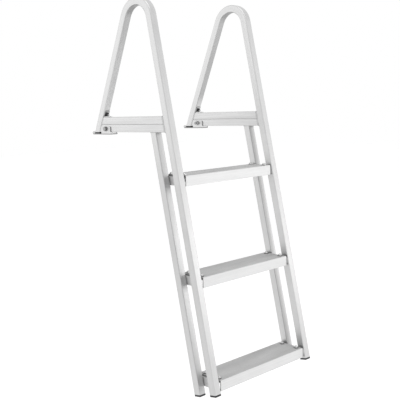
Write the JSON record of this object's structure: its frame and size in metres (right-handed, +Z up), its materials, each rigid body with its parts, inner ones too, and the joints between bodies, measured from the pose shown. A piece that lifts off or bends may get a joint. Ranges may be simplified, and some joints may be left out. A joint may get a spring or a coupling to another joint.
{
  "type": "boarding ladder",
  "caption": "Removable dock boarding ladder of square tube: two looped handrails, side bars on dock brackets, and wide matted treads on paired rails.",
  "frame": {"origin": "on the underside of the left dock bracket's plate, in the middle plane of that side frame, 46 mm behind the plate's front edge", "axes": "+X from the left side frame to the right one, +Y from the water towards the dock, +Z up"},
  "size_m": [0.4816, 0.5563, 1.2289],
  "materials": {
    "satin_aluminium": "satin extruded",
    "grey_mat": "fine grained",
    "black_plastic": "moulded",
    "stainless_fastener": "bright"
  },
  "bodies": {
    "root": {"left_handrail": "satin_aluminium", "left_rear_rail": "satin_aluminium", "left_side_bar": "satin_aluminium", "left_dock_bracket": "satin_aluminium", "left_bar_packer": "satin_aluminium", "left_bracket_bolt": "stainless_fastener", "left_bracket_nut": "stainless_fastener", "left_leg_cap": "black_plastic", "left_front_foot": "black_plastic", "left_rear_foot": "black_plastic", "left_corner_cleat": "satin_aluminium", "left_corner_bolt": "stainless_fastener", "left_corner_nut": "black_plastic", "left_tread_bolts": "stainless_fastener", "left_top_cleat": "satin_aluminium", "left_middle_cleat": "satin_aluminium", "left_bottom_cleat": "satin_aluminium", "right_handrail": "satin_aluminium", "right_rear_rail": "satin_aluminium", "right_side_bar": "satin_aluminium", "right_dock_bracket": "satin_aluminium", "right_bar_packer": "satin_aluminium", "right_bracket_bolt": "stainless_fastener", "right_bracket_nut": "stainless_fastener", "right_leg_cap": "black_plastic", "right_front_foot": "black_plastic", "right_rear_foot": "black_plastic", "right_corner_cleat": "satin_aluminium", "right_corner_bolt": "stainless_fastener", "right_corner_nut": "black_plastic", "right_tread_bolts": "stainless_fastener", "right_top_cleat": "satin_aluminium", "right_middle_cleat": "satin_aluminium", "right_bottom_cleat": "satin_aluminium", "top_tread": "satin_aluminium", "top_mat": "grey_mat", "middle_tread": "satin_aluminium", "middle_mat": "grey_mat", "bottom_tread": "satin_aluminium", "bottom_mat": "grey_mat"}
  },
  "joints": []
}
